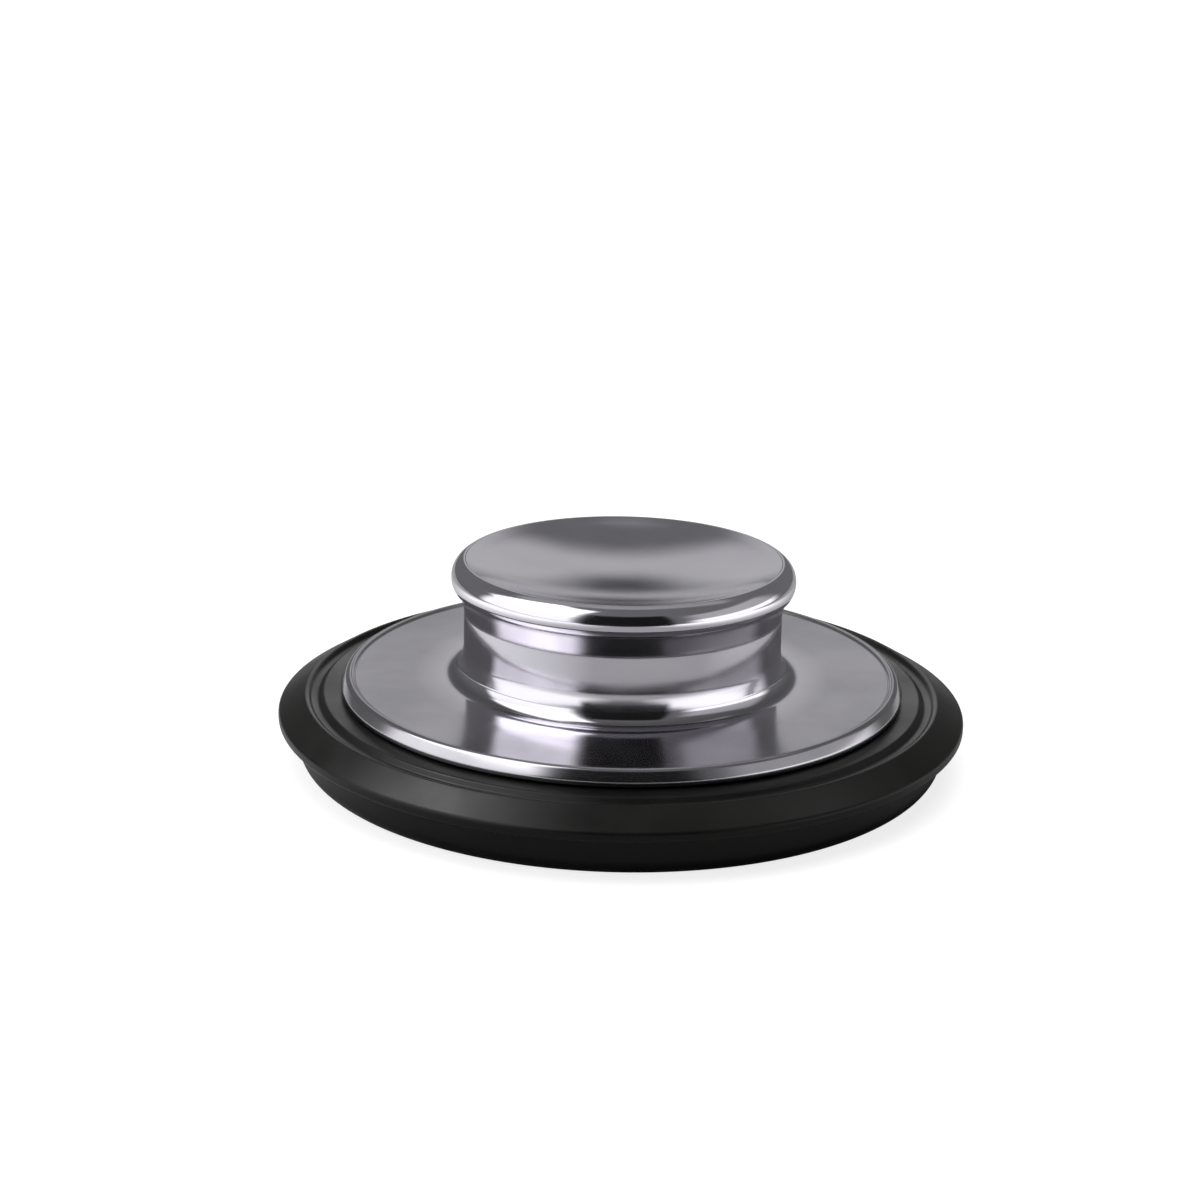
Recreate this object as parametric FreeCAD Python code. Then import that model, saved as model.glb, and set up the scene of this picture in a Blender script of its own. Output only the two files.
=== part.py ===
import FreeCAD, Part
import math
import os

# Drain stopper: a polished sheet-metal knob and flange, crimped over a ribbed core,
# with a rubber seal clamped below by a pressed plate and one screw.
# Lengths are in millimetres. The origin is the middle of the rubber skirt's foot, +Z is up.

# Rubber seal
SKIRT_RADIUS = 40.6
SKIRT_WALL = 4.2
SKIRT_FOOT_ROUND = 2.4
SKIRT_INNER_ROUND = 0.8
LIP_OVERHANG = 2.4
LIP_HEIGHT = 5.8
LIP_NOSE_HEIGHT = 1.2
LIP_NOSE_ROUND = 0.55
LIP_UNDER_SLOPE = 0.4
LIP_ROOT_ROUND = 0.5
SEAT_HEIGHT = 8.4
LAND_WIDTH = 2.2
VALLEY_DEPTH = 0.65
VALLEY_WIDTH = 0.8
VALLEY_SLOPE = 0.6
VALLEY_ROUND = 0.5
LIP_CREST_RISE = 0.1
WEB_THICKNESS = 2.5
WEB_ROUND = 0.3
RUBBER_CORNER_ROUND = 1.0

# Sheet-metal flange
SKIN = 0.6
FLANGE_INSET = 5.4
FLANGE_RISE = 1.9
EDGE_RISE = 0.3
EDGE_ROUND = 0.7
EDGE_LEAN = 0.45
EDGE_STEP_ROUND = 0.4
CURL_WIDTH = 2.3

# Sheet-metal knob
RIM_RADIUS = 21.4
RIM_ROUND = 2.25
KNOB_RISE = 14.7
DISH_DEPTH = 3.5
HEM_CLEARANCE = 0.1
HEM_LIP_SWELL = 0.15
HEM_LIP_ROUND = 0.8
NECK_INSET = 0.95
NECK_RISE = 11.0
NECK_ROUND = 1.0
WAIST_INSET = 0.58
WAIST_RISE = 8.5
WAIST_ROUND = 4.0
GRIP_FLARE = 0.03
GRIP_RISE = 3.55
GRIP_ROUND = 5.0
FOOT_FLARE = 0.58
FOOT_ROUND = 2.1

# Moulded core
CORE_WALL = 1.6
CORE_CLEARANCE = 0.25
CORE_FIT = 0.05
CORE_RIM_CHAMFER = 0.5
TOWER_HEADROOM = 3.0
WEB_GRIP = 7.0
SPIGOT_WALL = 2.4
SPIGOT_GAP = 0.1
RIB_COUNT = 6
RIB_THICKNESS = 1.4
RIB_HEADROOM = 3.5
BOSS_WALL = 2.1

# Clamp plate
PLATE_THICKNESS = 0.8
PLATE_GAP = 3.4
PLATE_EDGE_WIDTH = 1.2
PLATE_EDGE_DROP = 0.5
PLATE_BEND_ROUND = 1.0
PLATE_RIDGE_RISE = 0.8
PLATE_RIDGE_WIDTH = 1.6
PLATE_RIDGE_SLOPE = 1.0
POCKET_RADIUS = 6.2
POCKET_SLOPE = 0.6
POCKET_MARGIN = 0.2

# Screw, washers and insert
SCREW_RADIUS = 2.0
SCREW_LENGTH = 12.0
SCREW_TIP_CHAMFER = 0.5
SCREW_HOLE_CLEARANCE = 0.25
HEAD_RADIUS = 4.0
HEAD_HEIGHT = 2.6
HEAD_ROUND = 1.4
RECESS_REACH = 2.2
RECESS_WIDTH = 0.9
RECESS_DEPTH = 1.5
FLAT_WASHER_RADIUS = 4.5
FLAT_WASHER_THICKNESS = 0.8
SEALING_WASHER_RADIUS = 4.9
SEALING_WASHER_THICKNESS = 1.2
SEALING_WASHER_ROUND = 0.3
INSERT_WALL = 0.9
INSERT_LENGTH = 7.0
INSERT_GROOVE_DEPTH = 0.3
INSERT_GROOVE_WIDTH = 1.6
THREAD_FIT = 0.02
BLIND_DEPTH = 0.5

OVERRUN = 1.0

# Heights that follow from those sizes
FLANGE_TOP = SEAT_HEIGHT + FLANGE_RISE
FLANGE_UNDER = FLANGE_TOP - SKIN
KNOB_TOP = FLANGE_TOP + KNOB_RISE
DISH_BOTTOM = KNOB_TOP - DISH_DEPTH
WEB_UNDER = SEAT_HEIGHT - WEB_THICKNESS
PLATE_UNDER = WEB_UNDER - PLATE_THICKNESS
HEAD_BOTTOM = PLATE_UNDER + POCKET_MARGIN
HEAD_TOP = HEAD_BOTTOM + HEAD_HEIGHT
FLAT_WASHER_TOP = HEAD_TOP + FLAT_WASHER_THICKNESS
POCKET_CEILING = FLAT_WASHER_TOP + SEALING_WASHER_THICKNESS
POCKET_TOP = POCKET_CEILING + PLATE_THICKNESS
INSERT_BOTTOM = POCKET_TOP + SPIGOT_GAP
INSERT_TOP = INSERT_BOTTOM + INSERT_LENGTH

# Radii that follow from those sizes
LIP_RADIUS = SKIRT_RADIUS + LIP_OVERHANG
SKIRT_INNER = SKIRT_RADIUS - SKIRT_WALL
FLANGE_RADIUS = SKIRT_RADIUS - FLANGE_INSET
CURL_END = FLANGE_RADIUS - CURL_WIDTH
LAND_RADIUS = FLANGE_RADIUS + LAND_WIDTH
NECK_RADIUS = RIM_RADIUS - NECK_INSET
WAIST_RADIUS = NECK_RADIUS - WAIST_INSET
GRIP_RADIUS = WAIST_RADIUS + GRIP_FLARE
FOOT_RADIUS = GRIP_RADIUS + FOOT_FLARE
TOWER_RADIUS = WAIST_RADIUS - SKIN - CORE_CLEARANCE
SPIGOT_RADIUS = CURL_END - CORE_CLEARANCE - WEB_GRIP
PLATE_RADIUS = SKIRT_INNER - PLATE_GAP
INSERT_RADIUS = SCREW_RADIUS + THREAD_FIT + INSERT_WALL
SCREW_HOLE = SCREW_RADIUS + SCREW_HOLE_CLEARANCE

AXIS_POINT = FreeCAD.Vector(0, 0, 0)
UP = FreeCAD.Vector(0, 0, 1)
FULL_TURN = 360.0


def at(radius, height):
    """A point of a section, in the plane through the axis."""
    return FreeCAD.Vector(radius, 0, height)


def line(start, end):
    return Part.LineSegment(start, end).toShape()


def arc(centre, radius, start_angle, end_angle):
    """An arc of a section. Angles are in radians, from outwards towards up."""
    angles = (start_angle, (start_angle + end_angle) / 2, end_angle)
    points = [centre + at(radius * math.cos(a), radius * math.sin(a)) for a in angles]
    return Part.Arc(*points).toShape()


def joined(edges):
    return Part.Wire(Part.__sortEdges__(edges))


def bearing(start, end):
    """The angle of the direction from one section point to another."""
    return math.atan2(end.z - start.z, end.x - start.x)


def turned(wire):
    """The solid swept by a closed section about the axis."""
    return Part.Face(wire).revolve(AXIS_POINT, UP, FULL_TURN)


def sheet(path, thickness):
    """Sheet metal of even thickness, on the right-hand side of a path drawn outwards."""
    section = path.makeOffset2D(-thickness, fill=True, openResult=True)
    return section.revolve(AXIS_POINT, UP, FULL_TURN)


def rounded_corner(before, corner, after, radius):
    """The two ends and the middle of a fillet, limited by the sides that meet there."""
    to_before = before - corner
    to_after = after - corner
    half_angle = to_before.getAngle(to_after) / 2
    longest = min(to_before.Length, to_after.Length) / 2
    reach = min(radius / math.tan(half_angle), longest)
    radius = reach * math.tan(half_angle)
    to_before.normalize()
    to_after.normalize()
    inward = to_before + to_after
    inward.normalize()
    middle = corner + inward * (radius / math.sin(half_angle) - radius)
    return corner + to_before * reach, middle, corner + to_after * reach


def rounded_path(corners, closed):
    """A wire of straight sides with rounded corners. Each corner is radius, height, rounding."""
    points = [at(radius, height) for radius, height, rounding in corners]
    count = len(points)
    edges = []
    previous_end = None
    first_start = None
    for index, (radius, height, rounding) in enumerate(corners):
        is_end = not closed and index in (0, count - 1)
        if is_end or rounding == 0:
            start, end = points[index], points[index]
        else:
            after = points[(index + 1) % count]
            start, middle, end = rounded_corner(points[index - 1], points[index], after, rounding)
            edges.append(Part.Arc(start, middle, end).toShape())
        if previous_end is None:
            first_start = start
        elif (start - previous_end).Length > Part.Precision.confusion():
            edges.append(line(previous_end, start))
        previous_end = end
    if closed:
        edges.append(line(previous_end, first_start))
    return joined(edges)


def make_seal_ring():
    """Rubber ring: flat web and land, shallow groove, conical sealing lip and a plain skirt."""
    valley_height = SEAT_HEIGHT - VALLEY_DEPTH
    valley_start = LAND_RADIUS + VALLEY_SLOPE
    valley_end = valley_start + VALLEY_WIDTH
    nose_top = LIP_HEIGHT + LIP_NOSE_HEIGHT / 2
    nose_bottom = LIP_HEIGHT - LIP_NOSE_HEIGHT / 2
    bore = SPIGOT_RADIUS + CORE_FIT
    return turned(rounded_path([
        (SKIRT_INNER, 0, SKIRT_INNER_ROUND),
        (SKIRT_RADIUS, 0, SKIRT_FOOT_ROUND),
        (SKIRT_RADIUS, nose_bottom - LIP_UNDER_SLOPE, LIP_ROOT_ROUND),
        (LIP_RADIUS, nose_bottom, LIP_NOSE_ROUND),
        (LIP_RADIUS, nose_top, LIP_NOSE_ROUND),
        (valley_end + VALLEY_SLOPE, SEAT_HEIGHT + LIP_CREST_RISE, VALLEY_ROUND),
        (valley_end, valley_height, VALLEY_ROUND),
        (valley_start, valley_height, VALLEY_ROUND),
        (LAND_RADIUS, SEAT_HEIGHT, VALLEY_ROUND),
        (bore, SEAT_HEIGHT, WEB_ROUND),
        (bore, WEB_UNDER, WEB_ROUND),
        (SKIRT_INNER, WEB_UNDER, RUBBER_CORNER_ROUND),
    ], closed=True))


def make_knob_cap():
    """Dished top whose rim rolls down and under the lip of the knob body."""
    rim_centre = at(RIM_RADIUS - RIM_ROUND, KNOB_TOP - RIM_ROUND)
    sink = rim_centre.z - DISH_BOTTOM
    dish_radius = (rim_centre.x ** 2 + sink ** 2 - RIM_ROUND ** 2) / (2 * (RIM_ROUND + sink))
    dish_centre = at(0, DISH_BOTTOM + dish_radius)
    toward_rim = bearing(dish_centre, rim_centre)
    hem_end = NECK_RADIUS + HEM_CLEARANCE - rim_centre.x
    wrap = math.acos(hem_end / (RIM_ROUND - SKIN))
    path = joined([
        arc(dish_centre, dish_radius, -math.pi / 2, toward_rim),
        arc(rim_centre, RIM_ROUND, toward_rim + math.pi, -wrap),
    ])
    return sheet(path, SKIN)


def knob_wall(flange_end):
    """The knob's wall from its hidden lip over the waist and the flared foot to the flange's flat."""
    lip_radius = NECK_RADIUS + HEM_LIP_SWELL
    lip_reach = RIM_ROUND - SKIN - HEM_CLEARANCE
    rim_centre = at(RIM_RADIUS - RIM_ROUND, KNOB_TOP - RIM_ROUND)
    lip_rise = math.sqrt(lip_reach ** 2 - (lip_radius - rim_centre.x) ** 2)
    neck_top = rim_centre.z - HEM_LIP_ROUND
    return rounded_path([
        (lip_radius, rim_centre.z + lip_rise, 0),
        (lip_radius, rim_centre.z, HEM_LIP_ROUND),
        (NECK_RADIUS, neck_top, HEM_LIP_ROUND),
        (NECK_RADIUS, FLANGE_TOP + NECK_RISE, NECK_ROUND),
        (WAIST_RADIUS, FLANGE_TOP + WAIST_RISE, WAIST_ROUND),
        (GRIP_RADIUS, FLANGE_TOP + GRIP_RISE, GRIP_ROUND),
        (FOOT_RADIUS, FLANGE_TOP, FOOT_ROUND),
        (flange_end, FLANGE_TOP, 0),
    ], closed=False)


def make_knob_body():
    """Waisted grip and flange in one sheet, with a raised edge rolled under the core."""
    crest_centre = at(FLANGE_RADIUS - EDGE_ROUND - EDGE_LEAN, FLANGE_TOP + EDGE_RISE - EDGE_ROUND)
    curl_centre = at(FLANGE_RADIUS - EDGE_ROUND, SEAT_HEIGHT + EDGE_ROUND)
    lean = bearing(crest_centre, curl_centre) + math.pi / 2
    outward = at(EDGE_ROUND * math.cos(lean), EDGE_ROUND * math.sin(lean))
    step_height = FLANGE_TOP + EDGE_STEP_ROUND
    step_reach = EDGE_ROUND + EDGE_STEP_ROUND
    step_run = math.sqrt(step_reach ** 2 - (step_height - crest_centre.z) ** 2)
    step_centre = at(crest_centre.x - step_run, step_height)
    toward_step = bearing(crest_centre, step_centre)
    path = joined(knob_wall(step_centre.x).Edges + [
        arc(step_centre, EDGE_STEP_ROUND, -math.pi / 2, toward_step - math.pi),
        arc(crest_centre, EDGE_ROUND, toward_step, lean),
        line(crest_centre + outward, curl_centre + outward),
        arc(curl_centre, EDGE_ROUND, lean, -math.pi / 2),
        line(at(curl_centre.x, SEAT_HEIGHT), at(CURL_END, SEAT_HEIGHT)),
    ])
    return sheet(path, SKIN)


def make_core_hub():
    """Moulded core: crimped rim, spigot for the seal, open tower with ribs, and the screw boss."""
    rim_under = SEAT_HEIGHT + SKIN + CORE_FIT
    rim_radius = FLANGE_RADIUS - SKIN - CORE_CLEARANCE
    step_radius = CURL_END - CORE_CLEARANCE
    spigot_end = WEB_UNDER + SPIGOT_GAP
    pocket_bore = POCKET_RADIUS + PLATE_THICKNESS + POCKET_SLOPE + PLATE_BEND_ROUND + CORE_CLEARANCE
    pocket_wall = pocket_bore + CORE_WALL
    pocket_roof = INSERT_BOTTOM + CORE_WALL
    insert_bore = INSERT_RADIUS + THREAD_FIT
    boss_radius = INSERT_RADIUS + BOSS_WALL
    boss_top = DISH_BOTTOM - SKIN - CORE_FIT
    blind_end = screw_tip() + BLIND_DEPTH
    tower_top = KNOB_TOP - TOWER_HEADROOM
    outline = [
        (pocket_bore, spigot_end),
        (pocket_wall, spigot_end),
        (pocket_wall, SEAT_HEIGHT),
        (SPIGOT_RADIUS - SPIGOT_WALL, SEAT_HEIGHT),
        (SPIGOT_RADIUS - SPIGOT_WALL, spigot_end),
        (SPIGOT_RADIUS, spigot_end),
        (SPIGOT_RADIUS, SEAT_HEIGHT),
        (step_radius, SEAT_HEIGHT),
        (step_radius, rim_under),
        (rim_radius - CORE_RIM_CHAMFER, rim_under),
        (rim_radius, FLANGE_UNDER - CORE_RIM_CHAMFER),
        (rim_radius - CORE_RIM_CHAMFER, FLANGE_UNDER),
        (TOWER_RADIUS, FLANGE_UNDER),
        (TOWER_RADIUS, tower_top),
        (TOWER_RADIUS - CORE_WALL, tower_top),
        (TOWER_RADIUS - CORE_WALL, FLANGE_UNDER),
        (pocket_wall, FLANGE_UNDER),
        (pocket_wall, pocket_roof),
        (boss_radius, pocket_roof),
        (boss_radius, boss_top),
        (0, boss_top),
        (0, blind_end),
        (SCREW_HOLE, blind_end),
        (SCREW_HOLE, INSERT_TOP),
        (insert_bore, INSERT_TOP),
        (insert_bore, INSERT_BOTTOM),
        (pocket_bore, INSERT_BOTTOM),
    ]
    points = [at(radius, height) for radius, height in outline]
    hub = turned(Part.makePolygon(points + points[:1]))
    rib_start = INSERT_RADIUS + CORE_WALL / 2
    rib_end = TOWER_RADIUS - CORE_WALL / 2
    rib_height = tower_top - RIB_HEADROOM - FLANGE_UNDER
    corner = FreeCAD.Vector(rib_start, -RIB_THICKNESS / 2, FLANGE_UNDER)
    rib = Part.makeBox(rib_end - rib_start, RIB_THICKNESS, rib_height, corner)
    pocket = Part.makeCylinder(pocket_bore + CORE_WALL / 2, INSERT_BOTTOM + CORE_WALL / 2)
    rib = rib.cut(pocket)
    ribs = []
    for index in range(RIB_COUNT):
        copy = rib.copy()
        copy.rotate(AXIS_POINT, UP, index * FULL_TURN / RIB_COUNT)
        ribs.append(copy)
    return hub.fuse(ribs).removeSplitter()


def screw_tip():
    return HEAD_TOP + SCREW_LENGTH


def make_threaded_insert():
    """Brass insert with a groove round its middle that locks it in the boss."""
    middle = (INSERT_BOTTOM + INSERT_TOP) / 2
    groove = INSERT_RADIUS - INSERT_GROOVE_DEPTH
    low, high = middle - INSERT_GROOVE_WIDTH / 2, middle + INSERT_GROOVE_WIDTH / 2
    bore = SCREW_RADIUS + THREAD_FIT
    return turned(rounded_path([
        (bore, INSERT_BOTTOM, 0),
        (INSERT_RADIUS, INSERT_BOTTOM, 0),
        (INSERT_RADIUS, low, 0),
        (groove, low, 0),
        (groove, high, 0),
        (INSERT_RADIUS, high, 0),
        (INSERT_RADIUS, INSERT_TOP, 0),
        (bore, INSERT_TOP, 0),
    ], closed=True))


def make_clamp_plate():
    """Pressed disc: a pocket for the screw head, a stiffening ridge and an edge turned away."""
    pocket_top_radius = POCKET_RADIUS + PLATE_THICKNESS
    pocket_foot = pocket_top_radius + POCKET_SLOPE
    ridge_start = (pocket_foot + SPIGOT_RADIUS - SPIGOT_WALL) / 2
    ridge_crest = ridge_start + PLATE_RIDGE_SLOPE
    ridge_fall = ridge_crest + PLATE_RIDGE_WIDTH
    path = rounded_path([
        (SCREW_HOLE, POCKET_TOP, 0),
        (pocket_top_radius, POCKET_TOP, PLATE_BEND_ROUND),
        (pocket_foot, WEB_UNDER, PLATE_BEND_ROUND),
        (ridge_start, WEB_UNDER, PLATE_BEND_ROUND),
        (ridge_crest, WEB_UNDER + PLATE_RIDGE_RISE, PLATE_BEND_ROUND),
        (ridge_fall, WEB_UNDER + PLATE_RIDGE_RISE, PLATE_BEND_ROUND),
        (ridge_fall + PLATE_RIDGE_SLOPE, WEB_UNDER, PLATE_BEND_ROUND),
        (PLATE_RADIUS - PLATE_EDGE_WIDTH, WEB_UNDER, PLATE_BEND_ROUND),
        (PLATE_RADIUS, WEB_UNDER - PLATE_EDGE_DROP, 0),
    ], closed=False)
    return sheet(path, PLATE_THICKNESS)


def make_washer(radius, bottom, thickness, rounding):
    return turned(rounded_path([
        (SCREW_HOLE, bottom, 0),
        (radius, bottom, rounding),
        (radius, bottom + thickness, rounding),
        (SCREW_HOLE, bottom + thickness, 0),
    ], closed=True))


def make_clamp_screw():
    """Pan-head screw, head down, with a cross recess in the head."""
    tip = screw_tip()
    screw = turned(rounded_path([
        (0, HEAD_BOTTOM, 0),
        (HEAD_RADIUS, HEAD_BOTTOM, HEAD_ROUND),
        (HEAD_RADIUS, HEAD_TOP, 0),
        (SCREW_RADIUS, HEAD_TOP, 0),
        (SCREW_RADIUS, tip - SCREW_TIP_CHAMFER, 0),
        (SCREW_RADIUS - SCREW_TIP_CHAMFER, tip, 0),
        (0, tip, 0),
    ], closed=True))
    corner = FreeCAD.Vector(-RECESS_REACH, -RECESS_WIDTH / 2, HEAD_BOTTOM - OVERRUN)
    slot = Part.makeBox(2 * RECESS_REACH, RECESS_WIDTH, RECESS_DEPTH + OVERRUN, corner)
    crossing = slot.copy()
    crossing.rotate(AXIS_POINT, UP, FULL_TURN / 4)
    return screw.cut(slot.fuse(crossing))


def main():
    nodes = {
        "knob_cap": make_knob_cap(),
        "knob_body": make_knob_body(),
        "core_hub": make_core_hub(),
        "threaded_insert": make_threaded_insert(),
        "seal_ring": make_seal_ring(),
        "clamp_plate": make_clamp_plate(),
        "sealing_washer": make_washer(
            SEALING_WASHER_RADIUS, FLAT_WASHER_TOP, SEALING_WASHER_THICKNESS, SEALING_WASHER_ROUND),
        "flat_washer": make_washer(FLAT_WASHER_RADIUS, HEAD_TOP, FLAT_WASHER_THICKNESS, 0),
        "clamp_screw": make_clamp_screw(),
    }
    os.makedirs("parts", exist_ok=True)
    for name, shape in nodes.items():
        shape.exportStep("parts/" + name + ".step")
        print(name, len(shape.Solids), shape.isValid(), round(shape.Volume))


main()
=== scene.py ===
import math

import bpy
from mathutils import Matrix, Vector


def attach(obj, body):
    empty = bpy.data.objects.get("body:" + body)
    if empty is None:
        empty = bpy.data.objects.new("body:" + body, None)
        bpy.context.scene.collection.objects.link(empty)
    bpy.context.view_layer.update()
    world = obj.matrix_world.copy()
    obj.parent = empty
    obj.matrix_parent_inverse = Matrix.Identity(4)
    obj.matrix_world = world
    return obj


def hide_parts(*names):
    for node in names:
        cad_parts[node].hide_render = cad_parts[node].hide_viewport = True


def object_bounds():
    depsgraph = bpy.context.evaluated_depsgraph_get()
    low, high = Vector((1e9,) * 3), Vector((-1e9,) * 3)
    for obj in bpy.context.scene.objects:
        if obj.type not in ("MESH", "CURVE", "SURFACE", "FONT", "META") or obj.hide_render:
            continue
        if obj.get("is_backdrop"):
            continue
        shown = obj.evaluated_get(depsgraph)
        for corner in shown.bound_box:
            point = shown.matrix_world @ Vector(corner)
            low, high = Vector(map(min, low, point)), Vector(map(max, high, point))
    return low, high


# Drain stopper: polished steel knob and flange over a black rubber seal, on a white studio floor.
# The object's profile, the lens and the sensor are in millimetres and all other lengths in metres.
# Angles are in degrees.
# Directions are azimuth, from the camera's side towards the right, and elevation above the floor.

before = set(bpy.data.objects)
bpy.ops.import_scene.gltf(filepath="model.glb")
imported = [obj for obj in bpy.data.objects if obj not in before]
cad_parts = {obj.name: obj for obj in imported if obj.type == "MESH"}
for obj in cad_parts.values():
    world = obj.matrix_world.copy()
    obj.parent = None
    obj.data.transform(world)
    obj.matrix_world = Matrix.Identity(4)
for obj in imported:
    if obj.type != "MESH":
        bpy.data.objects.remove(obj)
cad_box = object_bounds()

# Camera
CAMERA_DISTANCE = 0.280
CAMERA_ELEVATION = 20.0
CAMERA_ROLL = 1.22
CAMERA_AIM_HEIGHT = 0.0058
CAMERA_LENS = 66.2
CAMERA_SENSOR = 36.0
CAMERA_SHIFT = (-0.0176, 0.0864)

# Floor
FLOOR_SIZE = 6.0
FLOOR_COLOUR = (0.32, 0.32, 0.32)

# Glow of the floor to the camera: strengths near and far, and how far out each of them is
FLOOR_GLOW_SEEN = (0.80, 1.0)
FLOOR_GLOW_REACHES = (0.3, 1.2)

# Glow of the floor in mirrors, on each side: where it starts across, where it is full, its strength
FLOOR_GLOWS = ((-0.02, -0.12, 0.95), (0.05, 0.15, 1.1))

# Where that glow starts to fade towards the back, and where it ends
FLOOR_GLOW_BACK = (0.04, 0.10)

# Lamps: name, azimuth, elevation, size, power
LAMP_DISTANCE = 0.8
OVERHEAD_LAMP = ("overhead", 0, 90, 0.8, 6.0)
RUBBER_LAMPS = (
    ("rubber_left", -113, 58, 0.3, 1.9),
    ("rubber_right", 112, 56, 0.3, 0.25),
    ("rubber_back", 180, 14, 0.6, 0.6),
)

# Strengths of the tent, as the object sees it and as the camera does
TENT_STRENGTHS = (0.16, 1.0)

# Studio cards, each nearer than the last: name, azimuths, elevations, strength, share of edges that fade
CARD_RADIUS = 0.95
CARD_GAP = 0.01
CARDS = (
    ("softbox_left_low", (-108, -28), (0, 36), 1.40, 0.12),
    ("softbox_left_high", (-114, -28), (28, 74), 2.50, 0.15),
    ("softbox_right_high", (38, 124), (8, 42), 0.50, 0.20),
    ("softbox_right_low", (38, 124), (0, 15), 1.50, 0.20),
    ("panel_top", (100, 260), (50, 90), 0.36, 0.15),
    ("panel_back", (163, 197), (0, 44), 0.51, 0.25),
)

# Dark flags, nearer than the cards
FLAG_RADIUS = 0.85
FLAGS = (
    ("flag_front", (-30, 36), (-8, 52), 0.012, 0.10),
    ("flag_back", (176, 184), (5, 31), 0.08, 0.45),
)

# Dark mat on the floor in front, seen only in the mirror finish
MAT_AZIMUTHS = (-30, 36)
MAT_REACHES = (0.28, 0.85)
MAT_STRENGTH = 0.012
MAT_FADE = 0.1
MAT_LIFT = 0.0005

# Meshes
MILLIMETRE = 0.001
CARD_STEP = 4.0
CARD_ROWS = 16
TURN_STEPS = 192
ARC_STEP = 7.5
ARC_LENGTH = 1.5
ARC_FEWEST = 2
SHARP_ANGLE = 40.0

# Rubber seal
SKIRT_RADIUS = 40.6
SKIRT_WALL = 4.2
SKIRT_FOOT_ROUND = 2.4
SKIRT_INNER_ROUND = 0.8
LIP_OVERHANG = 2.4
LIP_HEIGHT = 5.8
LIP_NOSE_HEIGHT = 1.2
LIP_NOSE_ROUND = 0.55
LIP_UNDER_SLOPE = 0.4
LIP_ROOT_ROUND = 0.5
SEAT_HEIGHT = 8.4
LAND_WIDTH = 2.2
VALLEY_DEPTH = 0.65
VALLEY_WIDTH = 0.8
VALLEY_SLOPE = 0.6
VALLEY_ROUND = 0.5
LIP_CREST_RISE = 0.1
WEB_THICKNESS = 2.5
WEB_BORE = 25.7
WEB_ROUND = 0.3
RUBBER_CORNER_ROUND = 1.0

# Sheet-metal flange
SKIN = 0.6
FLANGE_RADIUS = 35.2
FLANGE_TOP = 10.3
EDGE_RISE = 0.3
EDGE_ROUND = 0.7
EDGE_LEAN = 0.45
EDGE_STEP_ROUND = 0.4
CURL_WIDTH = 2.3

# Sheet-metal knob
RIM_RADIUS = 21.4
RIM_ROUND = 2.45
CREST_ROUND = 0.6
CREST_ANGLE = 65.0
KNOB_TOP = 25.0
DISH_DEPTH = 3.5
HEM_CLEARANCE = 0.1
NECK_RADIUS = 20.45
NECK_HEIGHT = 21.3
NECK_ROUND = 1.0
WAIST_RADIUS = 19.87
WAIST_HEIGHT = 18.8
WAIST_ROUND = 4.0
GRIP_RADIUS = 19.9
GRIP_HEIGHT = 13.85
GRIP_ROUND = 5.0
FOOT_RADIUS = 20.48
FOOT_ROUND = 2.1

# Span of a noise that shows, and the colour sockets of a mix node
NOISE_SPAN = (0.3, 0.7)
MIX_INPUTS = (6, 7)
MIX_OUTPUT = 2

# Polished steel. Each noise here and below is the size of its lumps and its detail
STEEL_COLOURS = ((0.70, 0.68, 0.745), (0.75, 0.73, 0.79))
STEEL_ROUGHNESS = (0.07, 0.12)
HAZE_RADII = (0.022, 0.026)
HAZE_ROUGHNESS = 0.07
HAZE_COLOURS = ((0.42, 0.41, 0.44), (0.58, 0.565, 0.61))
HAZE_PATCHES = (0.014, 3.0)
SMUDGES = (0.006, 5.0)
POLISH_LINES = (0.0003, 4.0)
POLISH_DEPTH = 0.0000004
SPIN_WAVES = (0.008, 1.0)
SPIN_DEPTH = 0.00001

# Corners of the steel darkened with painted shade: radius, height, width
CORNER_SHADE_COLOUR = (0.38, 0.372, 0.395)
SHADED_CORNERS = ((0.0213, 0.0108, 0.0014), (0.0206, 0.0214, 0.0008))

# Black rubber
RUBBER_COLOURS = ((0.002, 0.002, 0.0018), (0.004, 0.0041, 0.0036))
RUBBER_ROUGHNESS = (0.30, 0.40)
RUBBER_SHINE = 0.23
RUBBER_GRAIN = (0.00016, 2.0)
RUBBER_GRAIN_DEPTH = 0.000003
RUBBER_BLOOM = (0.007, 6.0)
MOULD_RINGS = (0.0007, 3.0)
MOULD_RING_DEPTH = 0.000004

# Finishes of the pieces below and inside
PLATE_COLOURS = ((0.50, 0.50, 0.51), (0.60, 0.60, 0.61))
PLATE_ROUGHNESS = (0.26, 0.42)
ROLL_LINES = (0.0002, 3.0)
ROLL_STRETCH = 0.04
ROLL_DEPTH = 0.000002
PLASTIC_COLOURS = ((0.085, 0.085, 0.095), (0.115, 0.115, 0.125))
PLASTIC_ROUGHNESS = (0.5, 0.66)
BRASS_COLOURS = ((0.66, 0.50, 0.24), (0.76, 0.60, 0.31))
BRASS_ROUGHNESS = (0.22, 0.36)
WASHER_COLOURS = ((0.05, 0.05, 0.05), (0.07, 0.07, 0.068))
WASHER_ROUGHNESS = (0.6, 0.75)
METAL_PATCHES = (0.004, 4.0)
PLASTIC_PATCHES = (0.004, 5.0)


def new_tree(data):
    """The empty node tree of a material or world."""
    data.use_nodes = True
    data.node_tree.nodes.clear()
    return data.node_tree


def new_material(name):
    material = bpy.data.materials.new(name)
    return material, new_tree(material)


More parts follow.
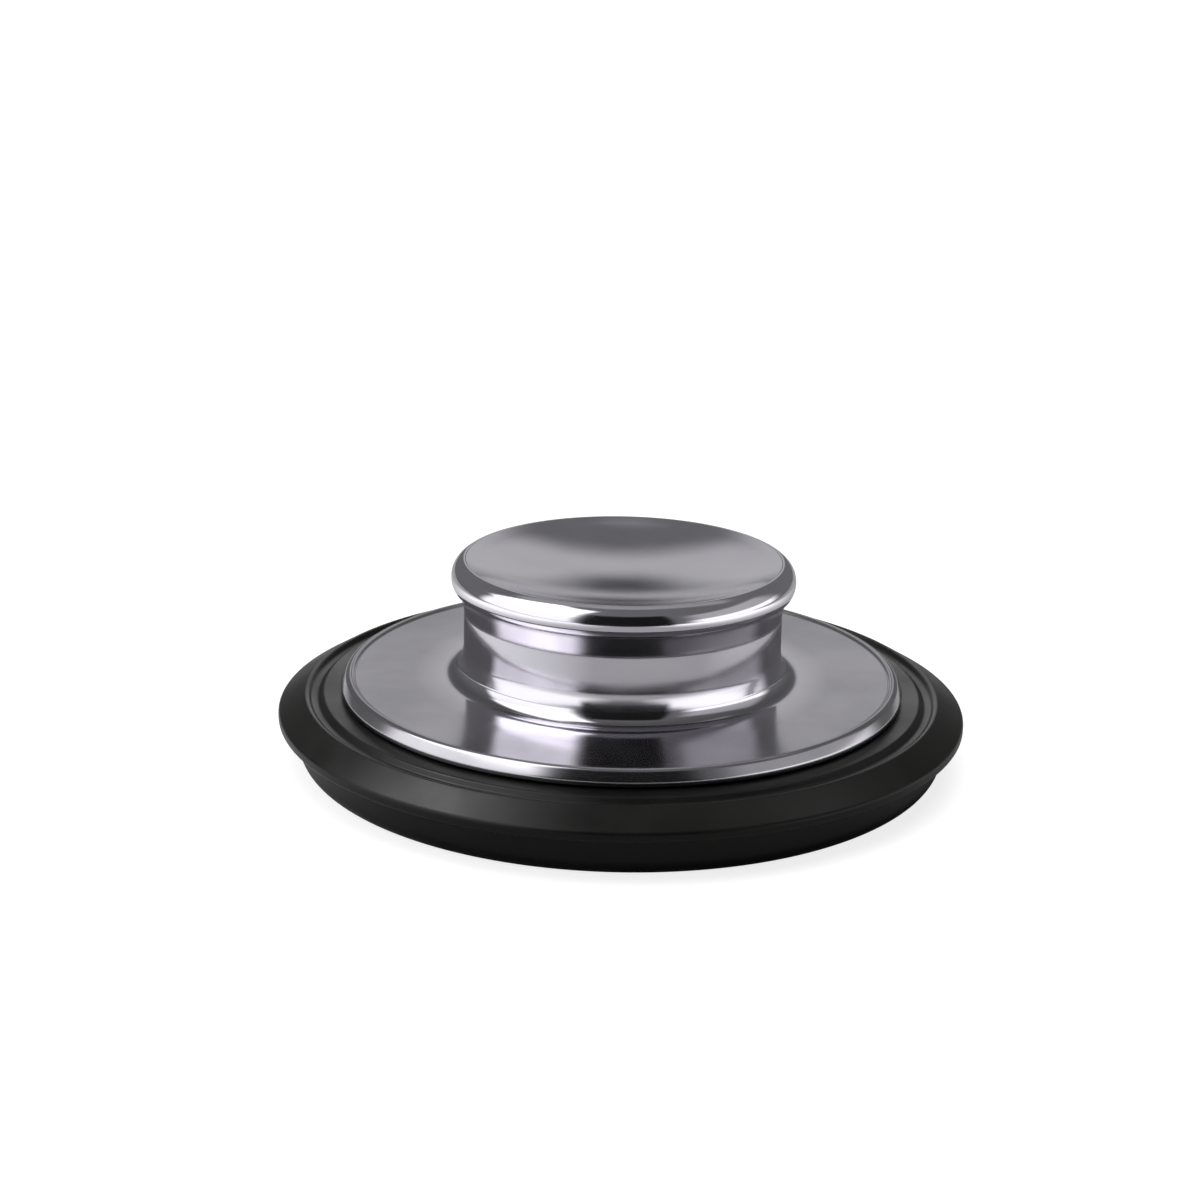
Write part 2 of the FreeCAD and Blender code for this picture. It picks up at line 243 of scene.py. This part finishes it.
def add(tree, kind, inputs, **settings):
    """A node with its settings. Each input is a value, or another node's socket to link."""
    node = tree.nodes.new(kind)
    for name, value in settings.items():
        setattr(node, name, value)
    for name, value in inputs.items():
        if isinstance(value, bpy.types.NodeSocket):
            tree.links.new(value, node.inputs[name])
        else:
            node.inputs[name].default_value = value
    return node


def maths(tree, operation, first, second=0.0):
    return add(tree, "ShaderNodeMath", {0: first, 1: second}, operation=operation).outputs[0]


def ramp(tree, value, span, ends):
    """A number that goes from one end to the other while a value crosses its span."""
    inputs = {
        "Value": value,
        "From Min": span[0],
        "From Max": span[1],
        "To Min": ends[0],
        "To Max": ends[1],
    }
    return add(tree, "ShaderNodeMapRange", inputs).outputs[0]


def between(tree, share, ends):
    return ramp(tree, share, (0.0, 1.0), ends)


def eased(tree, value, full):
    """A number that goes gently from zero to one while a value goes from zero to full."""
    inputs = {"Value": value, "From Max": full}
    return add(tree, "ShaderNodeMapRange", inputs, interpolation_type="SMOOTHSTEP").outputs[0]


def direction(azimuth, elevation):
    """Unit vector of a studio direction."""
    turn = math.radians(azimuth)
    rise = math.radians(elevation)
    return Vector((math.sin(turn) * math.cos(rise), -math.cos(turn) * math.cos(rise), math.sin(rise)))


def new_object(name, data):
    piece = bpy.data.objects.new(name, data)
    bpy.context.scene.collection.objects.link(piece)
    return piece


def glow_material(name, strength, fade_share):
    """Light given off evenly, fading out towards the card's edges."""
    material, tree = new_material(name)
    place = add(tree, "ShaderNodeSeparateXYZ", {0: add(tree, "ShaderNodeUVMap", {}).outputs[0]})
    fades = []
    for along in place.outputs[:2]:
        to_edge = maths(tree, "MINIMUM", along, maths(tree, "SUBTRACT", 1.0, along))
        fades.append(eased(tree, to_edge, fade_share))
    light = add(tree, "ShaderNodeEmission", {"Strength": strength})
    clear = add(tree, "ShaderNodeBsdfTransparent", {})
    shown = maths(tree, "MULTIPLY", fades[0], fades[1])
    mix = add(tree, "ShaderNodeMixShader", {0: shown, 1: clear.outputs[0], 2: light.outputs[0]})
    add(tree, "ShaderNodeOutputMaterial", {"Surface": mix.outputs[0]})
    material.cycles.emission_sampling = "NONE"
    return material


def panel(name, azimuths, spans, place, strength, fade_share):
    """A curved studio panel, laid out by a function of azimuth and span. The camera looks past it."""
    columns = math.ceil((azimuths[1] - azimuths[0]) / CARD_STEP)
    corners, places, faces = [], [], []
    for row in range(CARD_ROWS + 1):
        for column in range(columns + 1):
            along, up = column / columns, row / CARD_ROWS
            azimuth = azimuths[0] + along * (azimuths[1] - azimuths[0])
            corners.append(place(azimuth, spans[0] + up * (spans[1] - spans[0])))
            places.append((along, up))
    for row in range(CARD_ROWS):
        for column in range(columns):
            first = row * (columns + 1) + column
            faces.append((first, first + 1, first + columns + 2, first + columns + 1))
    mesh = bpy.data.meshes.new(name)
    mesh.from_pydata(corners, [], faces)
    layer = mesh.uv_layers.new(name="UVMap")
    for loop in mesh.loops:
        layer.data[loop.index].uv = places[loop.vertex_index]
    mesh.materials.append(glow_material(name, strength, fade_share))
    sheet = new_object(name, mesh)
    sheet.visible_camera = False
    sheet.visible_shadow = False
    sheet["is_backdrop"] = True
    return sheet


def card(name, azimuths, elevations, strength, fade_share, radius):
    """A panel that stands round the object and faces it."""
    def place(azimuth, elevation):
        return direction(azimuth, elevation) * radius
    panel(name, azimuths, elevations, place, strength, fade_share)


def mat():
    """A panel that lies on the floor and only shows in the mirror finish."""
    def place(azimuth, reach):
        return direction(azimuth, 0) * reach + Vector((0, 0, MAT_LIFT))
    sheet = panel("mat_front", MAT_AZIMUTHS, MAT_REACHES, place, MAT_STRENGTH, MAT_FADE)
    sheet.visible_diffuse = False


def make_floor():
    """Matt floor with a glow that keeps it white to the camera, and pale to both sides in mirrors."""
    material, tree = new_material("floor")
    paths = add(tree, "ShaderNodeLightPath", {}).outputs
    spot = add(tree, "ShaderNodeTexCoord", {}).outputs["Object"]
    across, back = add(tree, "ShaderNodeSeparateXYZ", {0: spot}).outputs[:2]
    reach = add(tree, "ShaderNodeVectorMath", {0: spot}, operation="LENGTH").outputs["Value"]
    seen = ramp(tree, reach, FLOOR_GLOW_REACHES, FLOOR_GLOW_SEEN)
    strength = maths(tree, "MULTIPLY", paths["Is Camera Ray"], seen)
    in_front = ramp(tree, back, FLOOR_GLOW_BACK, (1.0, 0.0))
    mirrored = maths(tree, "MULTIPLY", paths["Is Glossy Ray"], in_front)
    for start, full, most in FLOOR_GLOWS:
        sideways = ramp(tree, across, (start, full), (0.0, most))
        strength = maths(tree, "ADD", strength, maths(tree, "MULTIPLY", mirrored, sideways))
    glow = add(tree, "ShaderNodeEmission", {"Strength": strength})
    paint = add(tree, "ShaderNodeBsdfDiffuse", {"Color": (*FLOOR_COLOUR, 1.0)})
    both = add(tree, "ShaderNodeAddShader", {0: paint.outputs[0], 1: glow.outputs[0]})
    add(tree, "ShaderNodeOutputMaterial", {"Surface": both.outputs[0]})
    material.cycles.emission_sampling = "NONE"
    mesh = bpy.data.meshes.new("floor")
    half = FLOOR_SIZE / 2
    corners = [(-half, -half, 0), (half, -half, 0), (half, half, 0), (-half, half, 0)]
    mesh.from_pydata(corners, [], [(0, 1, 2, 3)])
    mesh.materials.append(material)
    new_object("floor", mesh)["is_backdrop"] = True


def make_world():
    """Grey tent all round, which the camera sees as white."""
    world = bpy.data.worlds.new("tent")
    bpy.context.scene.world = world
    tree = new_tree(world)
    seen = add(tree, "ShaderNodeLightPath", {}).outputs["Is Camera Ray"]
    tent = between(tree, seen, TENT_STRENGTHS)
    glow = add(tree, "ShaderNodeBackground", {"Color": (1.0, 1.0, 1.0, 1.0), "Strength": tent})
    add(tree, "ShaderNodeOutputWorld", {"Surface": glow.outputs[0]})


def make_studio():
    """Softboxes, panels, dark flags and a dark mat, all for the mirror finish."""
    for rank, settings in enumerate(CARDS):
        card(*settings, CARD_RADIUS - rank * CARD_GAP)
    for settings in FLAGS:
        card(*settings, FLAG_RADIUS)
    mat()


def make_lamp(name, azimuth, elevation, size, power):
    """A round soft lamp that faces the object."""
    lamp = bpy.data.lights.new(name, "AREA")
    lamp.shape = "DISK"
    lamp.size = size
    lamp.energy = power
    holder = new_object(name, lamp)
    holder.location = direction(azimuth, elevation) * LAMP_DISTANCE
    holder.rotation_euler = holder.location.to_track_quat("Z", "Y").to_euler()
    holder.visible_camera = False
    return holder


def make_lamps(rubber_piece):
    """Light from above that the mirror finish doesn't show, and lights for the rubber alone."""
    make_lamp(*OVERHEAD_LAMP).visible_glossy = False
    rubber_only = bpy.data.collections.new("rubber_only")
    rubber_only.objects.link(rubber_piece)
    for settings in RUBBER_LAMPS:
        make_lamp(*settings).light_linking.receiver_collection = rubber_only


def make_camera():
    view = bpy.data.cameras.new("camera")
    view.sensor_width = CAMERA_SENSOR
    view.lens = CAMERA_LENS
    view.shift_x, view.shift_y = CAMERA_SHIFT
    camera = new_object("camera", view)
    away = direction(0, CAMERA_ELEVATION) * CAMERA_DISTANCE
    tilt = Matrix.Rotation(math.radians(90 - CAMERA_ELEVATION), 4, "X")
    roll = Matrix.Rotation(math.radians(CAMERA_ROLL), 4, "Z")
    camera.matrix_world = Matrix.Translation(away + Vector((0, 0, CAMERA_AIM_HEIGHT))) @ tilt @ roll
    bpy.context.scene.camera = camera


def arc(centre, radius, start_angle, end_angle):
    """Points of an arc, from outwards towards up, both ends included."""
    swing = abs(end_angle - start_angle)
    length = math.radians(swing) * radius
    count = max(ARC_FEWEST, math.ceil(swing / ARC_STEP), math.ceil(length / ARC_LENGTH))
    points = []
    for step in range(count + 1):
        angle = math.radians(start_angle + (end_angle - start_angle) * step / count)
        points.append(centre + Vector((radius * math.cos(angle), radius * math.sin(angle))))
    return points


def bearing(start, end):
    """The angle of the direction from one point of a section to another."""
    return math.degrees(math.atan2(end.y - start.y, end.x - start.x))


def rounded_corner(before, corner, after, rounding):
    """Points of the fillet at a corner, limited by the sides that meet there."""
    to_before, to_after = before - corner, after - corner
    half_angle = to_before.angle(to_after) / 2
    longest = min(to_before.length, to_after.length) / 2
    reach = min(rounding / math.tan(half_angle), longest)
    radius = reach * math.tan(half_angle)
    inward = (to_before.normalized() + to_after.normalized()).normalized()
    centre = corner + inward * radius / math.sin(half_angle)
    start, end = (corner + side.normalized() * reach - centre for side in (to_before, to_after))
    start_angle = math.degrees(math.atan2(start.y, start.x))
    swing = math.degrees(end.angle_signed(start))
    return arc(centre, radius, start_angle, start_angle + swing)


def rounded_path(corners, closed):
    """Points of a path with rounded corners. Each corner is radius, height, rounding."""
    points = [Vector((radius, height)) for radius, height, rounding in corners]
    count = len(points)
    path = []
    for index, (radius, height, rounding) in enumerate(corners):
        is_end = not closed and index in (0, count - 1)
        if is_end or rounding == 0:
            path.append(points[index])
        else:
            path += rounded_corner(points[index - 1], points[index], points[(index + 1) % count], rounding)
    return path


def turned(name, path, closed):
    """The surface swept about the axis by a path drawn outwards, with texture coordinates."""
    sizes = [TURN_STEPS if point.x > 0 else 1 for point in path]
    corners, starts = [], []
    for point, size in zip(path, sizes):
        starts.append(len(corners))
        for step in range(size):
            turn = 2 * math.pi * step / TURN_STEPS
            place = Vector((point.x * math.cos(turn), point.x * math.sin(turn), point.y))
            corners.append(place * MILLIMETRE)
    bands = len(path) if closed else len(path) - 1
    faces, places = [], []
    for band in range(bands):
        for step in range(TURN_STEPS):
            spots = [(band, step), (band + 1, step), (band + 1, step + 1), (band, step + 1)]
            if sizes[band] == 1:
                spots.pop()
            face = []
            for level, spot in spots:
                ring = level % len(path)
                face.append(starts[ring] + spot % sizes[ring])
                places.append((spot / TURN_STEPS, level / bands))
            faces.append(face)
    mesh = bpy.data.meshes.new(name)
    mesh.from_pydata(corners, [], faces)
    layer = mesh.uv_layers.new(name="UVMap")
    for loop, place in zip(layer.data, places):
        loop.uv = place
    mesh.shade_smooth()
    mesh.set_sharp_from_angle(angle=math.radians(SHARP_ANGLE))
    return new_object(name, mesh)


def thickened(piece):
    """Gives sheet metal its thickness, on the hidden side."""
    wall = piece.modifiers.new("thickness", "SOLIDIFY")
    wall.thickness = SKIN * MILLIMETRE
    wall.offset = -1.0
    return piece


def dressed(piece, node, material):
    """Lets a piece stand for a node, with its finish."""
    piece.data.materials.append(material)
    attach(piece, "root")
    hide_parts(node)


def painted(node, material):
    """Gives a node of the frame its finish."""
    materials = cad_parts[node].data.materials
    materials.clear()
    materials.append(material)


def turned_knob_cap():
    """Dished top with a tight crest, whose rim rolls down and under."""
    crest_side = math.radians(CREST_ANGLE)
    crest_offset = Vector((math.cos(crest_side), math.sin(crest_side))) * (RIM_ROUND - CREST_ROUND)
    rim_centre = Vector((RIM_RADIUS - RIM_ROUND, KNOB_TOP - CREST_ROUND - crest_offset.y))
    crest_centre = rim_centre + crest_offset
    dish_bottom = KNOB_TOP - DISH_DEPTH
    sink = crest_centre.y - dish_bottom
    dish_radius = (crest_centre.x ** 2 + sink ** 2 - CREST_ROUND ** 2) / (2 * (CREST_ROUND + sink))
    dish_centre = Vector((0, dish_bottom + dish_radius))
    toward_crest = bearing(dish_centre, crest_centre)
    hem_end = NECK_RADIUS + HEM_CLEARANCE - rim_centre.x
    wrap = math.degrees(math.acos(hem_end / (RIM_ROUND - SKIN)))
    dish_steps = arc(dish_centre, dish_radius, -90, toward_crest)
    dish = [Vector((0, dish_bottom))] + dish_steps[1:-1]
    crest = arc(crest_centre, CREST_ROUND, toward_crest + 180, CREST_ANGLE)
    rim = arc(rim_centre, RIM_ROUND, CREST_ANGLE, -wrap)
    return turned("stopper_cap", dish + crest + rim[1:], closed=False)


def turned_knob_body():
    """Waisted grip and flange in one sheet, with a raised edge rolled under."""
    crest_centre = Vector((FLANGE_RADIUS - EDGE_ROUND - EDGE_LEAN, FLANGE_TOP + EDGE_RISE - EDGE_ROUND))
    curl_centre = Vector((FLANGE_RADIUS - EDGE_ROUND, SEAT_HEIGHT + EDGE_ROUND))
    lean = bearing(crest_centre, curl_centre) + 90
    step_height = FLANGE_TOP + EDGE_STEP_ROUND
    step_run = math.sqrt((EDGE_ROUND + EDGE_STEP_ROUND) ** 2 - (step_height - crest_centre.y) ** 2)
    step_centre = Vector((crest_centre.x - step_run, step_height))
    toward_step = bearing(crest_centre, step_centre)
    wall = rounded_path([
        (NECK_RADIUS, KNOB_TOP - RIM_ROUND, 0),
        (NECK_RADIUS, NECK_HEIGHT, NECK_ROUND),
        (WAIST_RADIUS, WAIST_HEIGHT, WAIST_ROUND),
        (GRIP_RADIUS, GRIP_HEIGHT, GRIP_ROUND),
        (FOOT_RADIUS, FLANGE_TOP, FOOT_ROUND),
        (step_centre.x, FLANGE_TOP, 0),
    ], closed=False)
    step = arc(step_centre, EDGE_STEP_ROUND, -90, toward_step - 180)
    crest = arc(crest_centre, EDGE_ROUND, toward_step, lean)
    curl = arc(curl_centre, EDGE_ROUND, lean, -90)
    curl_end = Vector((FLANGE_RADIUS - CURL_WIDTH, SEAT_HEIGHT))
    return turned("stopper_body", wall + step[1:] + crest[1:] + curl + [curl_end], closed=False)


def turned_seal_ring():
    """Rubber ring: flat web and land, shallow groove, conical sealing lip and a plain skirt."""
    skirt_inner = SKIRT_RADIUS - SKIRT_WALL
    lip_radius = SKIRT_RADIUS + LIP_OVERHANG
    land_radius = FLANGE_RADIUS + LAND_WIDTH
    web_under = SEAT_HEIGHT - WEB_THICKNESS
    valley_height = SEAT_HEIGHT - VALLEY_DEPTH
    valley_start = land_radius + VALLEY_SLOPE
    valley_end = valley_start + VALLEY_WIDTH
    nose_top = LIP_HEIGHT + LIP_NOSE_HEIGHT / 2
    nose_bottom = LIP_HEIGHT - LIP_NOSE_HEIGHT / 2
    return turned("stopper_seal", rounded_path([
        (skirt_inner, 0, SKIRT_INNER_ROUND),
        (skirt_inner, web_under, RUBBER_CORNER_ROUND),
        (WEB_BORE, web_under, WEB_ROUND),
        (WEB_BORE, SEAT_HEIGHT, WEB_ROUND),
        (land_radius, SEAT_HEIGHT, VALLEY_ROUND),
        (valley_start, valley_height, VALLEY_ROUND),
        (valley_end, valley_height, VALLEY_ROUND),
        (valley_end + VALLEY_SLOPE, SEAT_HEIGHT + LIP_CREST_RISE, VALLEY_ROUND),
        (lip_radius, nose_top, LIP_NOSE_ROUND),
        (lip_radius, nose_bottom, LIP_NOSE_ROUND),
        (SKIRT_RADIUS, nose_bottom - LIP_UNDER_SLOPE, LIP_ROOT_ROUND),
        (SKIRT_RADIUS, 0, SKIRT_FOOT_ROUND),
    ], closed=True), closed=True)


def turned_place(tree):
    """Coordinates on the object, and the same with the turn about the axis taken out."""
    place = add(tree, "ShaderNodeTexCoord", {}).outputs["Object"]
    parts = add(tree, "ShaderNodeSeparateXYZ", {0: place}).outputs
    level = add(tree, "ShaderNodeCombineXYZ", {"X": parts["X"], "Y": parts["Y"]}).outputs[0]
    reach = add(tree, "ShaderNodeVectorMath", {0: level}, operation="LENGTH").outputs["Value"]
    return place, add(tree, "ShaderNodeCombineXYZ", {"X": reach, "Y": parts["Z"]}).outputs[0]


def noise(tree, place, lumps):
    """Random cloud from zero to one, with lumps of about a size, and a detail."""
    size, detail = lumps
    cloud = add(tree, "ShaderNodeTexNoise", {"Vector": place, "Scale": 1 / size, "Detail": detail})
    return ramp(tree, cloud.outputs[0], NOISE_SPAN, (0.0, 1.0))


def blended(tree, share, colours):
    """A colour between two. Each is a written colour or another node's socket."""
    ends = [colour if isinstance(colour, bpy.types.NodeSocket) else (*colour, 1.0) for colour in colours]
    inputs = {"Factor": share, **dict(zip(MIX_INPUTS, ends))}
    return add(tree, "ShaderNodeMix", inputs, data_type="RGBA").outputs[MIX_OUTPUT]


def bump(tree, height, depth, normal=None):
    inputs = {"Height": height, "Distance": depth, "Strength": 1.0}
    if normal:
        inputs["Normal"] = normal
    return add(tree, "ShaderNodeBump", inputs).outputs[0]


def finished(tree, inputs):
    """Ends a material's tree with its main shader."""
    shader = add(tree, "ShaderNodeBsdfPrincipled", inputs)
    add(tree, "ShaderNodeOutputMaterial", {"Surface": shader.outputs[0]})


def steel_material():
    """Polished stainless steel with fine lines round the axis, smudges, and painted shade in its corners.
    """
    material, tree = new_material("polished_steel")
    place, ring = turned_place(tree)
    smudge = noise(tree, place, SMUDGES)
    waves = bump(tree, noise(tree, place, SPIN_WAVES), SPIN_DEPTH)
    colour = blended(tree, smudge, STEEL_COLOURS)
    # Painted shade: the steel's colour darkens towards each of these corners, at the foot and under the
    # rim.
    for radius, height, width in SHADED_CORNERS:
        gap = add(tree, "ShaderNodeVectorMath", {0: ring, 1: (radius, height, 0)}, operation="DISTANCE")
        unshaded = eased(tree, gap.outputs["Value"], width)
        colour = blended(tree, unshaded, (CORNER_SHADE_COLOUR, colour))
    reach = add(tree, "ShaderNodeSeparateXYZ", {0: ring}).outputs["X"]
    haze = ramp(tree, reach, HAZE_RADII, (0.0, 1.0))
    hazed = maths(tree, "MULTIPLY", haze, HAZE_ROUGHNESS)
    haze_colour = blended(tree, noise(tree, place, HAZE_PATCHES), HAZE_COLOURS)
    finished(tree, {
        "Base Color": blended(tree, haze, (colour, haze_colour)),
        "Metallic": 1.0,
        "Roughness": maths(tree, "ADD", between(tree, smudge, STEEL_ROUGHNESS), hazed),
        "Normal": bump(tree, noise(tree, ring, POLISH_LINES), POLISH_DEPTH, waves),
    })
    return material


def rubber_material(name, colours, roughness):
    """Smooth moulded rubber with a fine grain, moulding rings and a faint bloom."""
    material, tree = new_material(name)
    place, ring = turned_place(tree)
    bloom = noise(tree, place, RUBBER_BLOOM)
    rings = bump(tree, noise(tree, ring, MOULD_RINGS), MOULD_RING_DEPTH)
    finished(tree, {
        "Base Color": blended(tree, bloom, colours),
        "Roughness": between(tree, bloom, roughness),
        "Specular IOR Level": RUBBER_SHINE,
        "Normal": bump(tree, noise(tree, place, RUBBER_GRAIN), RUBBER_GRAIN_DEPTH, rings),
    })
    return material


def plate_material():
    """Plain stainless sheet with straight rolling lines."""
    material, tree = new_material("plate_steel")
    place = add(tree, "ShaderNodeTexCoord", {}).outputs["Object"]
    along = add(tree, "ShaderNodeMapping", {"Vector": place, "Scale": (ROLL_STRETCH, 1.0, 1.0)}).outputs[0]
    lines = noise(tree, along, ROLL_LINES)
    finished(tree, {
        "Base Color": blended(tree, noise(tree, place, METAL_PATCHES), PLATE_COLOURS),
        "Metallic": 1.0,
        "Roughness": between(tree, lines, PLATE_ROUGHNESS),
        "Normal": bump(tree, lines, ROLL_DEPTH),
    })
    return material


def plastic_material():
    """Matt moulded plastic with a fine grain."""
    material, tree = new_material("core_plastic")
    place = add(tree, "ShaderNodeTexCoord", {}).outputs["Object"]
    patch = noise(tree, place, PLASTIC_PATCHES)
    finished(tree, {
        "Base Color": blended(tree, patch, PLASTIC_COLOURS),
        "Roughness": between(tree, patch, PLASTIC_ROUGHNESS),
        "Normal": bump(tree, noise(tree, place, RUBBER_GRAIN), RUBBER_GRAIN_DEPTH),
    })
    return material


def brass_material():
    """Machined brass with turning lines round the axis."""
    material, tree = new_material("insert_brass")
    place, ring = turned_place(tree)
    patch = noise(tree, place, METAL_PATCHES)
    finished(tree, {
        "Base Color": blended(tree, patch, BRASS_COLOURS),
        "Metallic": 1.0,
        "Roughness": between(tree, patch, BRASS_ROUGHNESS),
        "Normal": bump(tree, noise(tree, ring, ROLL_LINES), ROLL_DEPTH),
    })
    return material


bpy.context.scene.view_settings.view_transform = "Standard"
make_world()
make_floor()
make_studio()
make_camera()

steel = steel_material()
rubber = rubber_material("black_rubber", RUBBER_COLOURS, RUBBER_ROUGHNESS)
dressed(thickened(turned_knob_cap()), "knob_cap", steel)
dressed(thickened(turned_knob_body()), "knob_body", steel)
seal = turned_seal_ring()
dressed(seal, "seal_ring", rubber)
make_lamps(seal)

plate_steel = plate_material()
for node in ("clamp_plate", "flat_washer", "clamp_screw"):
    painted(node, plate_steel)
painted("core_hub", plastic_material())
painted("threaded_insert", brass_material())
painted("sealing_washer", rubber_material("washer_rubber", WASHER_COLOURS, WASHER_ROUGHNESS))

sizes = {"cad": cad_box, "visual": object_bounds()}
{name: [list(corner) for corner in box] for name, box in sizes.items()}
